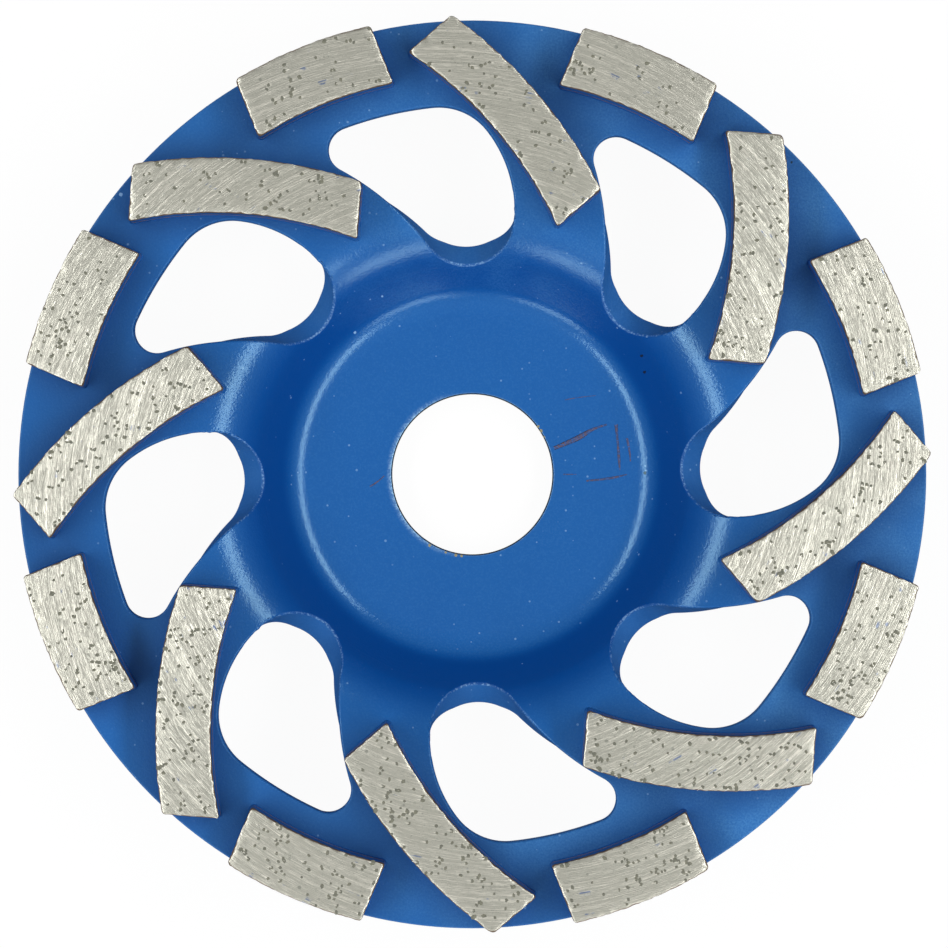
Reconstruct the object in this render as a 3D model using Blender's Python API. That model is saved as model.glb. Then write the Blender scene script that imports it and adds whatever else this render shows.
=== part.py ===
"""Diamond cup grinding wheel for a 125 mm angle grinder.

A steel plate is punched with a bore and eight swept windows, then pressed into a shallow cup.
Eight long curved and eight short arc-shaped diamond segments are brazed to its flat outer ring.
Metres. +Z points the way the segments face, and the hub's back face lies on Z = 0.
"""

import math

import bmesh
import bpy
from mathutils import Matrix, Vector

MM = 0.001

# Plate and pressing
BODY_RADIUS = 62.0 * MM
PLATE_THICKNESS = 3.5 * MM
BORE_RADIUS = 22.23 / 2 * MM
BORE_CHAMFER = 0.3 * MM
CUP_DEPTH = 11.35 * MM
HUB_FLAT_RADIUS = 22.0 * MM
HUB_FILLET_RADIUS = 5.0 * MM
WALL_ANGLE = math.radians(52.0)
SHOULDER_RADIUS = 12.5 * MM
RIM_ROUNDING = 0.4 * MM

# Pattern: every feature repeats COUNT times, and angles run anticlockwise seen from +Z
COUNT = 8
FIRST_SHORT_ANGLE = math.radians(21.9)

# Windows: three corner circles joined by tangent arcs, inside an arc about the wheel's axis.
# Their angles are counted back from the middle of the short segment that they lie under.
# No corner is wider than its share of the window's depth, so that all three fit.
RIM_LAND = 11.5 * MM
HUB_LAND = 6.75 * MM
LEAD_CORNER_RADIUS = 8.3 * MM
LEAD_CORNER_LAG = math.radians(15.7)
END_CORNER_RADIUS = 3.15 * MM
END_CORNER_LAG = math.radians(1.5)
HUB_CORNER_RADIUS = 6.5 * MM
HUB_CORNER_LAG = math.radians(20.6)
LEAD_FLANK_EASE = 6.5 * MM
TRAIL_FLANK_RADIUS = 37.0 * MM
WINDOW_ROUNDING = 0.6 * MM
LARGEST_CORNER_SHARE = 0.4

# Segments: bars bent to an arc, with parallel ends
SEGMENT_OVERHANG = 0.5 * MM
SEGMENT_HEIGHT = 6.0 * MM
BRAZE_GAP = 0.3 * MM
SEGMENT_CORNER_RADIUS = 0.5 * MM
SEGMENT_EDGE_CHAMFER = 0.25 * MM
SHORT_LENGTH = 19.9 * MM
SHORT_WIDTH = 8.5 * MM
LONG_LENGTH = 31.35 * MM
LONG_WIDTH = 7.7 * MM
LONG_ARC_RADIUS = 63.9 * MM
LONG_TIP_LAG = math.radians(19.3)
LONG_SWEEP = math.radians(38.0)

# Fineness of the curved surfaces, and the angles from which edges are shaded as creases
STEPS_AROUND = 96
FILLET_STEPS = 5
SHOULDER_STEPS = 8
ROUNDING_STEPS = 2
OUTLINE_STEP = math.radians(11.0)
LONGEST_OUTLINE_CHORD = 2.6 * MM
BAR_STEP = 3.4 * MM
PLATE_CREASE = math.radians(32.0)
BAR_CREASE = math.radians(40.0)

PITCH = 2 * math.pi / COUNT
RING_Z = PLATE_THICKNESS + CUP_DEPTH
SEGMENT_RADIUS = BODY_RADIUS + SEGMENT_OVERHANG

BLUE_PAINT = {"color": (0.022, 0.120, 0.400, 1.0), "metallic": 0.0, "roughness": 0.38}
SINTERED_METAL = {"color": (0.58, 0.56, 0.49, 1.0), "metallic": 0.75, "roughness": 0.45}


def clear_scene():
    """Removes whatever the scene holds at the start."""
    for old in list(bpy.data.objects):
        bpy.data.objects.remove(old, do_unlink=True)


def material(name, color, metallic, roughness):
    """A Principled material of one colour."""
    made = bpy.data.materials.new(name)
    made.use_nodes = True
    shader = made.node_tree.nodes["Principled BSDF"]
    shader.inputs["Base Color"].default_value = color
    shader.inputs["Metallic"].default_value = metallic
    shader.inputs["Roughness"].default_value = roughness
    return made


def polar(radius, angle):
    """The point of the XY plane at this radius and angle about the wheel's axis."""
    return Vector((radius * math.cos(angle), radius * math.sin(angle)))


def angle_of(vector):
    """The direction of a 2-D vector."""
    return math.atan2(vector.y, vector.x)


# The pressed section

def press_bends():
    """Plan radii where the fillet ends, the shoulder starts and the shoulder ends."""
    rise_in_bends = (HUB_FILLET_RADIUS + SHOULDER_RADIUS) * (1 - math.cos(WALL_ANGLE))
    wall_run = (CUP_DEPTH - rise_in_bends) / math.tan(WALL_ANGLE)
    fillet_end = HUB_FLAT_RADIUS + HUB_FILLET_RADIUS * math.sin(WALL_ANGLE)
    shoulder_start = fillet_end + wall_run
    shoulder_end = shoulder_start + SHOULDER_RADIUS * math.sin(WALL_ANGLE)
    return fillet_end, shoulder_start, shoulder_end


def front_section(radius):
    """Height of the front surface over the hub floor and its slope, at a plan radius."""
    fillet_end, shoulder_start, shoulder_end = press_bends()
    if radius <= HUB_FLAT_RADIUS:
        return 0.0, 0.0
    if radius < fillet_end:
        slope = math.asin((radius - HUB_FLAT_RADIUS) / HUB_FILLET_RADIUS)
        return HUB_FILLET_RADIUS * (1 - math.cos(slope)), slope
    if radius < shoulder_start:
        fillet_rise = HUB_FILLET_RADIUS * (1 - math.cos(WALL_ANGLE))
        return fillet_rise + (radius - fillet_end) * math.tan(WALL_ANGLE), WALL_ANGLE
    if radius < shoulder_end:
        slope = math.asin((shoulder_end - radius) / SHOULDER_RADIUS)
        return CUP_DEPTH - SHOULDER_RADIUS * (1 - math.cos(slope)), slope
    return CUP_DEPTH, 0.0


def press(point):
    """Carries a point of the flat plate, front face up at Z = 0, to its place in the cup."""
    radius = math.hypot(point.x, point.y)
    rise, slope = front_section(radius)
    pressed_radius = radius - point.z * math.sin(slope)
    spread = pressed_radius / radius
    height = PLATE_THICKNESS + rise + point.z * math.cos(slope)
    return Vector((point.x * spread, point.y * spread, height))


# The punched plate

def plate_rings():
    """Plan radii of the plate's rings, closest where the press bends it."""
    fillet_end, shoulder_start, shoulder_end = press_bends()
    rings = [HUB_FLAT_RADIUS]
    for step in range(1, FILLET_STEPS + 1):
        slope = WALL_ANGLE * step / FILLET_STEPS
        rings.append(HUB_FLAT_RADIUS + HUB_FILLET_RADIUS * math.sin(slope))
    for step in range(SHOULDER_STEPS + 1):
        slope = WALL_ANGLE * (1 - step / SHOULDER_STEPS)
        rings.append(shoulder_end - SHOULDER_RADIUS * math.sin(slope))
    return rings


def plate_section():
    """The flat plate's section as (radius, height) points, round from the bore's front edge."""
    inner, chamfer = BORE_RADIUS, BORE_CHAMFER
    back, rounding = -PLATE_THICKNESS, RIM_ROUNDING
    rings = plate_rings()
    section = [(inner, -chamfer), (inner + chamfer, 0.0)]
    section += [(radius, 0.0) for radius in rings]
    steps = range(ROUNDING_STEPS + 1)
    for step in steps:
        turn = math.pi / 2 * step / ROUNDING_STEPS
        radius = BODY_RADIUS - rounding * (1 - math.sin(turn))
        section.append((radius, -rounding * (1 - math.cos(turn))))
    for step in steps:
        turn = math.pi / 2 * step / ROUNDING_STEPS
        radius = BODY_RADIUS - rounding * (1 - math.cos(turn))
        section.append((radius, back + rounding * (1 - math.sin(turn))))
    section += [(radius, back) for radius in reversed(rings)]
    section += [(inner + chamfer, back), (inner, back + chamfer)]
    return section


def flat_plate():
    """The round plate with its bore, spun from its section."""
    shape = bmesh.new()
    corners = [shape.verts.new((radius, 0.0, height)) for radius, height in plate_section()]
    edges = [shape.edges.new((a, b)) for a, b in zip(corners, corners[1:] + corners[:1])]
    bmesh.ops.spin(
        shape,
        geom=corners + edges,
        axis=(0, 0, 1),
        cent=(0, 0, 0),
        angle=2 * math.pi,
        steps=STEPS_AROUND,
        use_merge=True,
    )
    bmesh.ops.remove_doubles(shape, verts=shape.verts, dist=0.001 * MM)
    bmesh.ops.recalc_face_normals(shape, faces=shape.faces)
    return shape


# The windows

def circles_meet(first, first_radius, second, second_radius, side):
    """Where two circles cross, on the left (1) or right (-1) of the line between centres."""
    apart = second - first
    along = (apart.length**2 + first_radius**2 - second_radius**2) / (2 * apart.length)
    across = math.sqrt(first_radius**2 - along**2)
    ahead = apart.normalized()
    return first + ahead * along + Vector((-ahead.y, ahead.x)) * across * side


def arc(centre, radius, start, end, grow):
    """Points along an arc, without its last one, set out from it by this much.

    It turns the way that end lies of start, and has as many points at every offset.
    """
    by_turn = abs(end - start) / OUTLINE_STEP
    by_chord = abs(end - start) * radius / LONGEST_OUTLINE_CHORD
    steps = max(2, math.ceil(max(by_turn, by_chord)))
    turns = [start + (end - start) * step / steps for step in range(steps)]
    return [centre + polar(radius + grow, turn) for turn in turns]


def clockwise(start, end):
    """The end angle, counted so that it lies clockwise of the start."""
    return start - (start - end) % (2 * math.pi)


def nearest(start, end):
    """The end angle, counted so that it lies within half a turn of the start."""
    return start + (end - start + math.pi) % (2 * math.pi) - math.pi


def window_outline(short_angle, grow):
    """A window's outline on the flat plate, grown by this much all round."""
    outer_radius = BODY_RADIUS - RIM_LAND
    inner_radius = HUB_FLAT_RADIUS + HUB_LAND
    largest = LARGEST_CORNER_SHARE * (outer_radius - inner_radius)
    lead_radius = min(LEAD_CORNER_RADIUS, largest)
    end_radius = min(END_CORNER_RADIUS, largest)
    hub_radius = min(HUB_CORNER_RADIUS, largest)
    lead_angle = short_angle - LEAD_CORNER_LAG
    end_angle = short_angle - END_CORNER_LAG
    hub_angle = short_angle - HUB_CORNER_LAG
    lead = polar(outer_radius - lead_radius, lead_angle)
    end = polar(outer_radius - end_radius, end_angle)
    hub = polar(inner_radius + hub_radius, hub_angle)

    corner_span = (lead - hub).length + lead_radius + hub_radius
    bow = corner_span / 2 + LEAD_FLANK_EASE
    bow_centre = circles_meet(lead, bow - lead_radius, hub, bow - hub_radius, -1)
    hollow = TRAIL_FLANK_RADIUS
    hollow_centre = circles_meet(hub, hollow + hub_radius, end, hollow + end_radius, 1)

    bow_start = angle_of(lead - bow_centre)
    bow_end = angle_of(hub - bow_centre)
    hub_end = angle_of(hollow_centre - hub)
    hollow_start = angle_of(hub - hollow_centre)
    hollow_end = angle_of(end - hollow_centre)
    end_start = angle_of(hollow_centre - end)

    axis = Vector((0.0, 0.0))
    lead_end = clockwise(lead_angle, bow_start)
    hollow_stop = nearest(hollow_start, hollow_end)
    points = arc(axis, outer_radius, end_angle, lead_angle, grow)
    points += arc(lead, lead_radius, lead_angle, lead_end, grow)
    points += arc(bow_centre, bow, bow_start, clockwise(bow_start, bow_end), grow)
    points += arc(hub, hub_radius, bow_end, clockwise(bow_end, hub_end), grow)
    points += arc(hollow_centre, hollow, hollow_start, hollow_stop, -grow)
    points += arc(end, end_radius, end_start, clockwise(end_start, end_angle), grow)
    return points


def window_punch(short_angle):
    """The solid that cuts one window: straight below, flared above to round the front edge."""
    rounding = WINDOW_ROUNDING
    levels = [(-2 * PLATE_THICKNESS, 0.0)]
    for step in range(ROUNDING_STEPS + 1):
        turn = math.pi / 2 * step / ROUNDING_STEPS
        levels.append((-rounding * (1 - math.sin(turn)), rounding * (1 - math.cos(turn))))
    (low, low_grow), (high, high_grow) = levels[-2:]
    levels[-1] = (high + (high - low), high_grow + (high_grow - low_grow))

    shape = bmesh.new()
    loops = []
    for height, grow in levels:
        outline = window_outline(short_angle, grow)
        corners = [shape.verts.new((point.x, point.y, height)) for point in outline]
        loops.append(corners)
    for lower, upper in zip(loops, loops[1:]):
        for index in range(len(lower)):
            after = (index + 1) % len(lower)
            shape.faces.new((lower[index], lower[after], upper[after], upper[index]))
    shape.faces.new(loops[0])
    shape.faces.new(loops[-1])
    bmesh.ops.recalc_face_normals(shape, faces=shape.faces)
    return shape


def object_from(shape, name, look=None):
    """Turns a bmesh into an object of the scene."""
    mesh = bpy.data.meshes.new(name)
    shape.to_mesh(mesh)
    shape.free()
    if look is not None:
        mesh.materials.append(look)
    made = bpy.data.objects.new(name, mesh)
    bpy.context.scene.collection.objects.link(made)
    return made


def punched_plate():
    """The flat plate with its windows cut, as a bmesh of triangles."""
    plate = object_from(flat_plate(), "plate")
    punches = []
    for index in range(COUNT):
        punch = object_from(window_punch(FIRST_SHORT_ANGLE + index * PITCH), f"punch_{index}")
        cut = plate.modifiers.new(punch.name, "BOOLEAN")
        cut.operation = "DIFFERENCE"
        cut.solver = "EXACT"
        cut.object = punch
        punches.append(punch)
    graph = bpy.context.evaluated_depsgraph_get()
    shape = bmesh.new()
    shape.from_object(plate, graph)
    for helper in [plate, *punches]:
        bpy.data.objects.remove(helper, do_unlink=True)
    bmesh.ops.remove_doubles(shape, verts=shape.verts, dist=0.005 * MM)
    bmesh.ops.triangulate(shape, faces=shape.faces)
    return shape


def shade(mesh, crease):
    """Smooth shading, with edges sharper than this angle kept crisp."""
    mesh.shade_smooth()
    mesh.set_sharp_from_angle(angle=crease)


def make_cup_body(look):
    """The punched plate pressed to its cup."""
    shape = punched_plate()
    for corner in shape.verts:
        corner.co = press(corner.co)
    body = object_from(shape, "cup_body", look)
    shade(body.data, PLATE_CREASE)
    return body


# The segments

def bar_mesh(name, arc_radius, width, length, look):
    """A bar bent about the origin, its middle along +X, its outer side at arc_radius."""
    inner_radius = arc_radius - width
    half = length / 2
    steps = math.ceil(length / BAR_STEP)
    stations = [half - length * step / steps for step in range(steps + 1)]
    outer_side = [(math.sqrt(arc_radius**2 - y**2), y) for y in stations]
    inner_side = [(math.sqrt(inner_radius**2 - y**2), y) for y in reversed(stations)]
    outline = outer_side + inner_side

    shape = bmesh.new()
    foot = shape.faces.new([shape.verts.new((x, y, 0.0)) for x, y in outline])
    raised = bmesh.ops.extrude_face_region(shape, geom=[foot])["geom"]
    top_corners = [item for item in raised if isinstance(item, bmesh.types.BMVert)]
    bmesh.ops.translate(shape, verts=top_corners, vec=(0, 0, SEGMENT_HEIGHT))
    bmesh.ops.recalc_face_normals(shape, faces=shape.faces)

    ends = [edge for edge in shape.edges if is_bar_corner(edge, half)]
    bmesh.ops.bevel(
        shape, geom=ends, offset=SEGMENT_CORNER_RADIUS, segments=3, profile=0.5, affect="EDGES"
    )
    rim = [edge for edge in shape.edges if min(v.co.z for v in edge.verts) > SEGMENT_HEIGHT / 2]
    bmesh.ops.bevel(shape, geom=rim, offset=SEGMENT_EDGE_CHAMFER, segments=1, affect="EDGES")

    mesh = bpy.data.meshes.new(name)
    shape.to_mesh(mesh)
    shape.free()
    mesh.materials.append(look)
    shade(mesh, BAR_CREASE)
    return mesh


def is_bar_corner(edge, half):
    """Whether this is one of the four upright edges at a bar's ends."""
    low, high = sorted(corner.co.z for corner in edge.verts)
    upright = high - low > SEGMENT_HEIGHT / 2
    return upright and abs(abs(edge.verts[0].co.y) - half) < 0.01 * MM


def long_bar_place():
    """Where the long bar's arc centre lies and which way its middle points, for angle 0.

    Its outer corner sits on the segments' outer circle, LONG_TIP_LAG behind the short
    segment, and its length runs inwards from there, swept LONG_SWEEP off the radius.
    """
    tip_angle = -LONG_TIP_LAG
    length_angle = tip_angle + math.pi + LONG_SWEEP
    middle_angle = length_angle + math.pi / 2
    rise = math.sqrt(LONG_ARC_RADIUS**2 - (LONG_LENGTH / 2) ** 2)
    centre = (
        polar(SEGMENT_RADIUS, tip_angle)
        + polar(LONG_LENGTH / 2, length_angle)
        - polar(rise, middle_angle)
    )
    return centre, middle_angle


def place(mesh, name, body, centre, middle_angle, turn):
    """One segment on the ring, carried by the body."""
    made = bpy.data.objects.new(name, mesh)
    bpy.context.scene.collection.objects.link(made)
    made.parent = body
    seat = RING_Z + BRAZE_GAP
    local = Matrix.Translation((centre.x, centre.y, seat)) @ Matrix.Rotation(middle_angle, 4, "Z")
    made.matrix_local = Matrix.Rotation(turn, 4, "Z") @ local
    return made


def make_segments(body, look):
    """The long and the short segments, all round the ring."""
    short = bar_mesh("short_segment", SEGMENT_RADIUS, SHORT_WIDTH, SHORT_LENGTH, look)
    long = bar_mesh("long_segment", LONG_ARC_RADIUS, LONG_WIDTH, LONG_LENGTH, look)
    axis = Vector((0.0, 0.0))
    long_centre, long_middle = long_bar_place()
    for index in range(COUNT):
        turn = FIRST_SHORT_ANGLE + index * PITCH
        place(short, f"short_segment_{index + 1}", body, axis, 0.0, turn)
        place(long, f"long_segment_{index + 1}", body, long_centre, long_middle, turn)


clear_scene()
cup_body = make_cup_body(material("blue_paint", **BLUE_PAINT))
make_segments(cup_body, material("sintered_metal", **SINTERED_METAL))
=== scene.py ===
"""Diamond cup grinding wheel, seen on its working face.

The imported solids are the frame. Each is replaced by a finer piece of the same form: the punched,
pressed and painted cup, then the ground diamond segments and the braze that holds them.
"""
import random
from collections import namedtuple
from math import asin, atan2, ceil, cos, hypot, pi, radians, sin, sqrt, tan

import bmesh
import bpy
from mathutils import Matrix, Vector, kdtree, noise


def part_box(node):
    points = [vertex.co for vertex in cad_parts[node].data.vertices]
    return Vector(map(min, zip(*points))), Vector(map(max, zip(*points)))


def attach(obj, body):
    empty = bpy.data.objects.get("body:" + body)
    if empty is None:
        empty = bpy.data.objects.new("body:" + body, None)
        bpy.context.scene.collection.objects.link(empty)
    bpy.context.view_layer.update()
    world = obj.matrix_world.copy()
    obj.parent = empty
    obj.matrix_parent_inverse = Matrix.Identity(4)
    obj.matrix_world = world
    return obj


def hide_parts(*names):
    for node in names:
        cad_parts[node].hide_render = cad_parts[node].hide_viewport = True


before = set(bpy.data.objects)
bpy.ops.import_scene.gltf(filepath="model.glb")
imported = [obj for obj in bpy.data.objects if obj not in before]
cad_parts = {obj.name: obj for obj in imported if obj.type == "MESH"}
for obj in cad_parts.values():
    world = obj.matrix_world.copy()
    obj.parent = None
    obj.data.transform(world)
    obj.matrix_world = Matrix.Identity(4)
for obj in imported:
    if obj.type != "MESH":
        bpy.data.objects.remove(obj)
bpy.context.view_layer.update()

# The cup body
# A 3.5 mm steel plate, punched with the bore and eight swept windows, then pressed to a shallow
# cup and sprayed with semi-gloss blue paint. The punch rolls the windows' front edges over.

MM = 0.001
COUNT = 8
PITCH = 2 * pi / COUNT
FIRST_SHORT_ANGLE = radians(21.9)

BODY_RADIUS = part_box("cup_body")[1].x
RING_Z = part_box("cup_body")[1].z
PLATE_THICKNESS = 3.5 * MM
CUP_DEPTH = RING_Z - PLATE_THICKNESS
BORE_RADIUS = 22.23 / 2 * MM
HUB_FLAT_RADIUS = 22.0 * MM
HUB_FILLET_RADIUS = 5.0 * MM
WALL_ANGLE = radians(52.0)
SHOULDER_RADIUS = 12.5 * MM

RIM_LAND = 11.5 * MM
HUB_LAND = 6.75 * MM
LEAD_CORNER_RADIUS = 8.3 * MM
LEAD_CORNER_LAG = radians(15.7)
END_CORNER_RADIUS = 3.15 * MM
END_CORNER_LAG = radians(1.5)
HUB_CORNER_RADIUS = 6.5 * MM
HUB_CORNER_LAG = radians(20.6)
LEAD_FLANK_EASE = 6.5 * MM
TRAIL_FLANK_RADIUS = 37.0 * MM

RIM_ROUNDING = 0.25 * MM
BORE_ROUNDING = 0.3 * MM
WINDOW_ROUNDING = 0.35 * MM
WINDOW_BACK_ROUNDING = 0.2 * MM
WEDGE_START = radians(-37.0)
WEDGE_STEPS = 30
FILLET_STEPS = 12
WALL_STEPS = 4
SHOULDER_STEPS = 18
FLAT_STEP = 1.6 * MM
ROUNDING_STEPS = 5
OUTLINE_STEP = 0.38 * MM

BURR_LAG = radians(31.0)
BURR_RADIUS = 34.6 * MM
BURR_REACH = 3.2 * MM
BURR_HEIGHT = 0.22 * MM
BURR_GRAIN = 0.45 * MM
NEARLY = 1.01
SEAM_MERGE = 0.002 * MM
END_FACE_CORNERS = 40
NOISE_SHIFTS = (Vector((9.3, -1.5, -7.9)), Vector((0, 0, 0)), Vector((-6.8, 5.2, 3.1)))


def deselect_all():
    """Leaves edit mode with nothing selected."""
    if bpy.context.object and bpy.context.object.mode == "EDIT":
        bpy.ops.object.mode_set(mode="OBJECT")
    bpy.ops.object.select_all(action="DESELECT")


def hold(pieces):
    """Selects these pieces alone, the first of them active."""
    deselect_all()
    for piece in pieces:
        piece.select_set(True)
    bpy.context.view_layer.objects.active = pieces[0]


def edit(piece):
    """Opens one piece alone in edit mode."""
    hold([piece])
    bpy.ops.object.mode_set(mode="EDIT")
    bpy.ops.mesh.select_mode(type="VERT")


def close_edit():
    """Turns every face of the mesh in edit mode outwards and leaves edit mode."""
    bpy.ops.mesh.select_all(action="SELECT")
    bpy.ops.mesh.normals_make_consistent(inside=False)
    bpy.ops.object.mode_set(mode="OBJECT")


def add_object(name, data):
    """A new object in the scene that shows this data."""
    made = bpy.data.objects.new(name, data)
    bpy.context.scene.collection.objects.link(made)
    return made


def pick(wanted):
    """Selects the corners of the mesh in edit mode whose place passes a test."""
    mesh = bpy.context.object.data
    shape = bmesh.from_edit_mesh(mesh)
    for corner in shape.verts:
        corner.select = wanted(corner.co)
    shape.select_flush_mode()
    bmesh.update_edit_mesh(mesh)


def loop_of(points, name):
    """A closed loop of corners: a circle primitive whose corners are moved to these points."""
    deselect_all()
    bpy.ops.mesh.primitive_circle_add(vertices=len(points), radius=BODY_RADIUS)
    made = bpy.context.object
    made.name = name
    for corner, point in zip(made.data.vertices, points):
        corner.co = point
    return made


def stack(loops, name):
    """A closed solid through loops of equally many points, from its foot to its top."""
    made = loop_of(loops[0], name)
    edit(made)
    bpy.ops.mesh.select_all(action="SELECT")
    bpy.ops.mesh.edge_face_add()
    for lower, upper in zip(loops, loops[1:]):
        bpy.ops.mesh.extrude_region()
        places = kdtree.KDTree(len(lower))
        for index, point in enumerate(lower):
            places.insert(point, index)
        places.balance()
        shape = bmesh.from_edit_mesh(made.data)
        for corner in [corner for corner in shape.verts if corner.select]:
            corner.co = upper[places.find(corner.co)[1]]
        bmesh.update_edit_mesh(made.data)
    close_edit()
    return made


def polar(radius, angle):
    """The point of the XY plane at this radius and angle about the wheel's axis."""
    return Vector((radius * cos(angle), radius * sin(angle)))


def angle_of(vector):
    """The direction of a 2-D vector."""
    return atan2(vector.y, vector.x)


def press_bends():
    """Plan radii where the fillet ends, the shoulder starts and the shoulder ends."""
    rise_in_bends = (HUB_FILLET_RADIUS + SHOULDER_RADIUS) * (1 - cos(WALL_ANGLE))
    fillet_end = HUB_FLAT_RADIUS + HUB_FILLET_RADIUS * sin(WALL_ANGLE)
    shoulder_start = fillet_end + (CUP_DEPTH - rise_in_bends) / tan(WALL_ANGLE)
    return fillet_end, shoulder_start, shoulder_start + SHOULDER_RADIUS * sin(WALL_ANGLE)


FILLET_END, SHOULDER_START, SHOULDER_END = press_bends()


def front_section(radius):
    """Rise of the front surface over the hub floor, its slope, and the slope's change."""
    if radius <= HUB_FLAT_RADIUS or radius >= SHOULDER_END:
        return (0.0 if radius <= HUB_FLAT_RADIUS else CUP_DEPTH), 0.0, 0.0
    if radius < FILLET_END:
        slope = asin((radius - HUB_FLAT_RADIUS) / HUB_FILLET_RADIUS)
        bend = 1 / (HUB_FILLET_RADIUS * cos(slope))
        return HUB_FILLET_RADIUS * (1 - cos(slope)), slope, bend
    if radius < SHOULDER_START:
        fillet_rise = HUB_FILLET_RADIUS * (1 - cos(WALL_ANGLE))
        return fillet_rise + (radius - FILLET_END) * tan(WALL_ANGLE), WALL_ANGLE, 0.0
    slope = asin((SHOULDER_END - radius) / SHOULDER_RADIUS)
    bend = -1 / (SHOULDER_RADIUS * cos(slope))
    return CUP_DEPTH - SHOULDER_RADIUS * (1 - cos(slope)), slope, bend


def press(point, facing):
    """Carries a point of the flat plate, and the way it faces, to their place in the cup."""
    radius = hypot(point.x, point.y)
    rise, slope, bend = front_section(radius)
    pressed_radius = radius - point.z * sin(slope)
    spread = pressed_radius / radius
    height = PLATE_THICKNESS + rise + point.z * cos(slope)
    place = Vector((point.x * spread, point.y * spread, height))

    outwards = Vector((point.x, point.y, 0.0)) / radius
    around = Vector((-outwards.y, outwards.x, 0.0))
    up = Vector((0.0, 0.0, 1.0))
    along_sheet = outwards * cos(slope) + up * sin(slope)
    through_sheet = up * cos(slope) - outwards * sin(slope)
    stretch = 1 / cos(slope) - point.z * bend
    turned = along_sheet * (facing.dot(outwards) / stretch)
    turned += around * (facing.dot(around) / spread) + through_sheet * facing.z
    return place, turned.normalized()


def evenly(start, end, step):
    """Values from start towards end, at most a step apart, without the last one."""
    count = max(1, ceil(abs(end - start) / step))
    return [start + (end - start) * index / count for index in range(count)]


def plate_rings():
    """Plan radii of the rings of corners, from the bore to the rim, closest in the bends."""
    rings = evenly(BORE_RADIUS + BORE_ROUNDING, HUB_FLAT_RADIUS, FLAT_STEP)
    for step in range(FILLET_STEPS):
        slope = WALL_ANGLE * step / FILLET_STEPS
        rings.append(HUB_FLAT_RADIUS + HUB_FILLET_RADIUS * sin(slope))
    rings += evenly(FILLET_END, SHOULDER_START, (SHOULDER_START - FILLET_END) / WALL_STEPS)
    for step in range(SHOULDER_STEPS):
        slope = WALL_ANGLE * (1 - step / SHOULDER_STEPS)
        rings.append(SHOULDER_END - SHOULDER_RADIUS * sin(slope))
    rings += evenly(SHOULDER_END, BODY_RADIUS - RIM_ROUNDING, FLAT_STEP)
    rings.append(BODY_RADIUS - RIM_ROUNDING)
    return rings


def rounding_turns():
    """Turns of an edge's rounding, from the wall to just before the face."""
    return [pi / 2 * step / ROUNDING_STEPS for step in range(ROUNDING_STEPS)]


def rounded_edge(rim, front):
    """The section's rounding at the rim or the bore, at the front or the back, from its wall."""
    rounding = RIM_ROUNDING if rim else BORE_ROUNDING
    middle = BODY_RADIUS - rounding if rim else BORE_RADIUS + rounding
    points = []
    for turn in rounding_turns():
        reach, drop = rounding * cos(turn), rounding * (1 - sin(turn))
        height = -drop if front else drop - PLATE_THICKNESS
        points.append((middle + reach if rim else middle - reach, height))
    return points


def plate_section():
    """The flat plate's section, round from the bore's rounded front edge."""
    rings = plate_rings()
    section = rounded_edge(False, True) + [(radius, 0.0) for radius in rings]
    section += rounded_edge(True, True)[::-1] + rounded_edge(True, False)
    section += [(radius, -PLATE_THICKNESS) for radius in reversed(rings)]
    return section + rounded_edge(False, False)[::-1]


def plate_wedge():
    """One eighth of the flat plate: its section spun about the axis, with the cut ends filled."""
    start = FIRST_SHORT_ANGLE + WEDGE_START
    points = []
    for radius, height in plate_section():
        place = polar(radius, start)
        points.append((place.x, place.y, height))
    wedge = loop_of(points, "painted_cup")
    edit(wedge)
    bpy.ops.mesh.select_all(action="SELECT")
    bpy.ops.mesh.spin(steps=WEDGE_STEPS, angle=PITCH, center=(0, 0, 0), axis=(0, 0, -1))
    bpy.ops.mesh.edge_face_add()
    pick(lambda place: abs(atan2(place.y, place.x) - start) < PITCH / WEDGE_STEPS / 2)
    bpy.ops.mesh.edge_face_add()
    close_edit()
    return wedge


def circles_meet(first, first_radius, second, second_radius, side):
    """Where two circles cross, on the left (1) or right (-1) of the line between centres."""
    apart = second - first
    along = (apart.length**2 + first_radius**2 - second_radius**2) / (2 * apart.length)
    across = sqrt(first_radius**2 - along**2)
    ahead = apart.normalized()
    return first + ahead * along + Vector((-ahead.y, ahead.x)) * across * side


def arc(centre, radius, start, end, grow):
    """Points along an arc, set out from it by this much and as many at every offset."""
    turns = evenly(start, end, OUTLINE_STEP / radius)
    return [centre + polar(radius + grow, turn) for turn in turns]


def clockwise(start, end):
    """The end angle, counted so that it lies clockwise of the start."""
    return start - (start - end) % (2 * pi)


def nearest(start, end):
    """The end angle, counted so that it lies within half a turn of the start."""
    return start + (end - start + pi) % (2 * pi) - pi


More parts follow.
